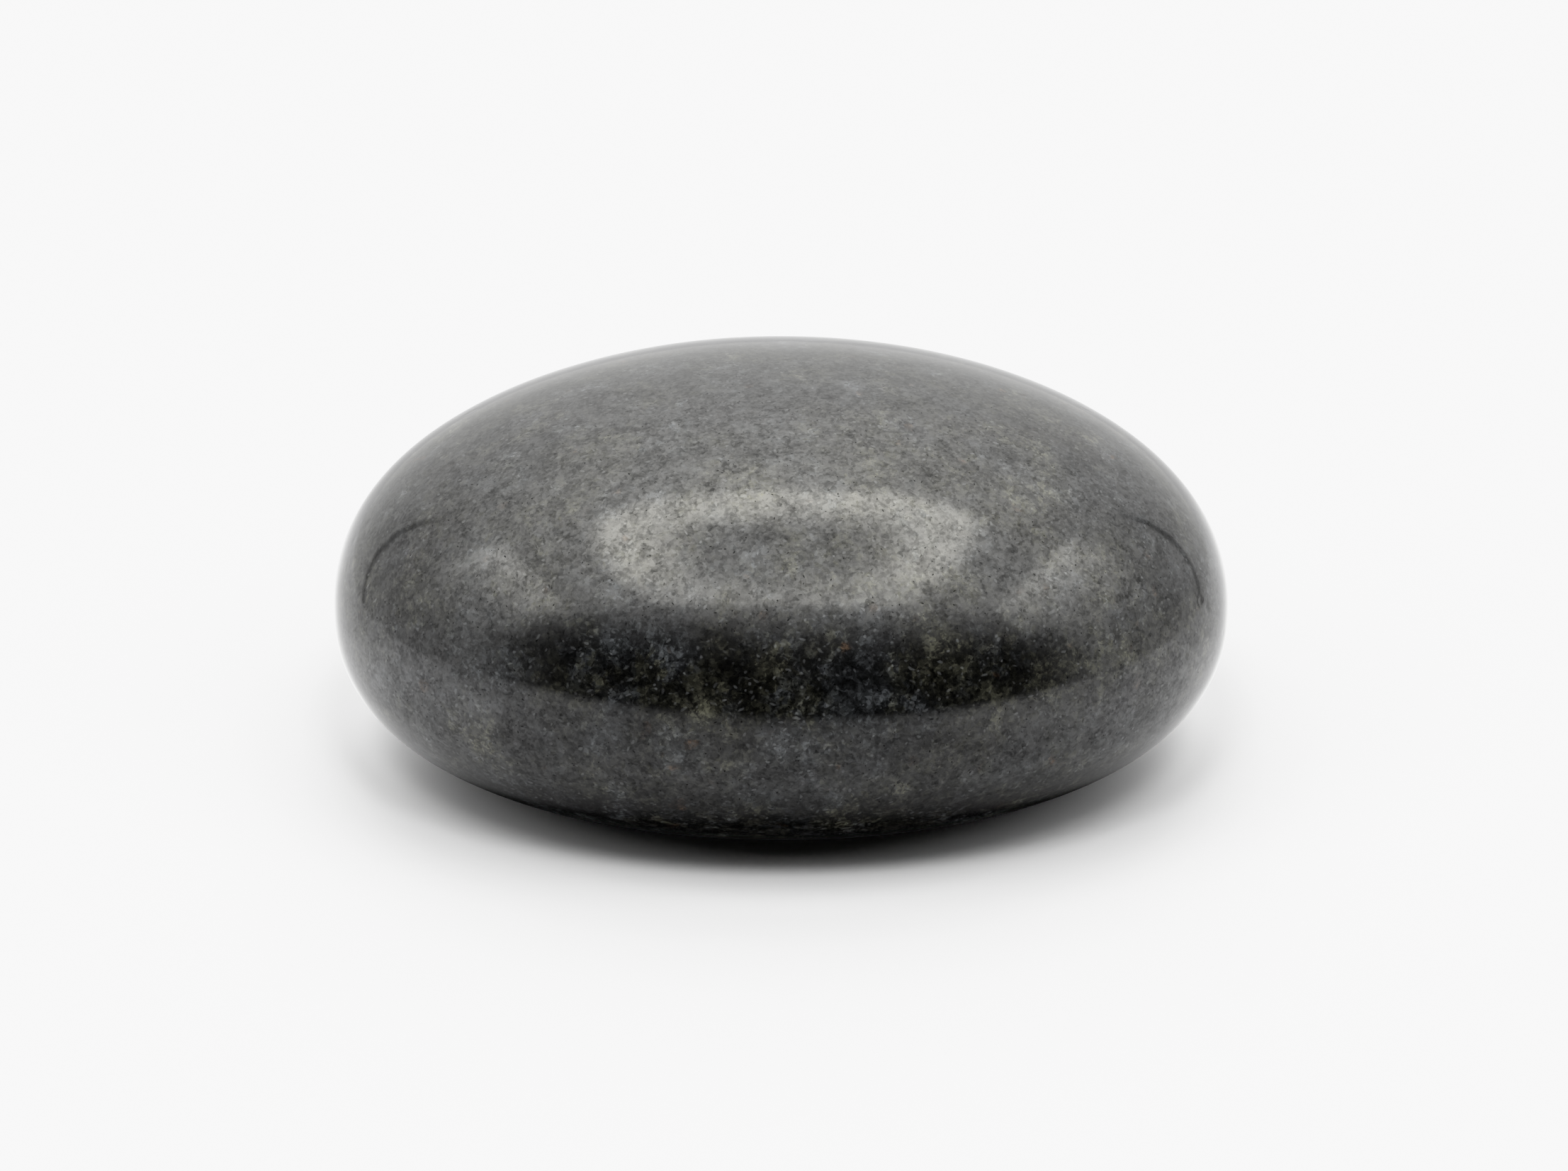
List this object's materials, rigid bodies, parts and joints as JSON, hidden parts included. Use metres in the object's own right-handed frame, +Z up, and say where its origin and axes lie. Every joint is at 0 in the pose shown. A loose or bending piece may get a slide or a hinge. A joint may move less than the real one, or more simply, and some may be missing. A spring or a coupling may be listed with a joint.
{
  "type": "river pebble",
  "caption": "Smooth, rounded, near-black river stone with fine pale flecks and a soft polish, for ornament, weight or ground cover.",
  "frame": {"origin": "on the resting face, under the middle of the stone's box", "axes": "+Z up from the resting face, +X along the stone's length, +Y across it"},
  "size_m": [0.08, 0.062, 0.0384],
  "materials": {
    "stone": "polished"
  },
  "bodies": {
    "root": {"pebble": "stone"}
  },
  "joints": []
}
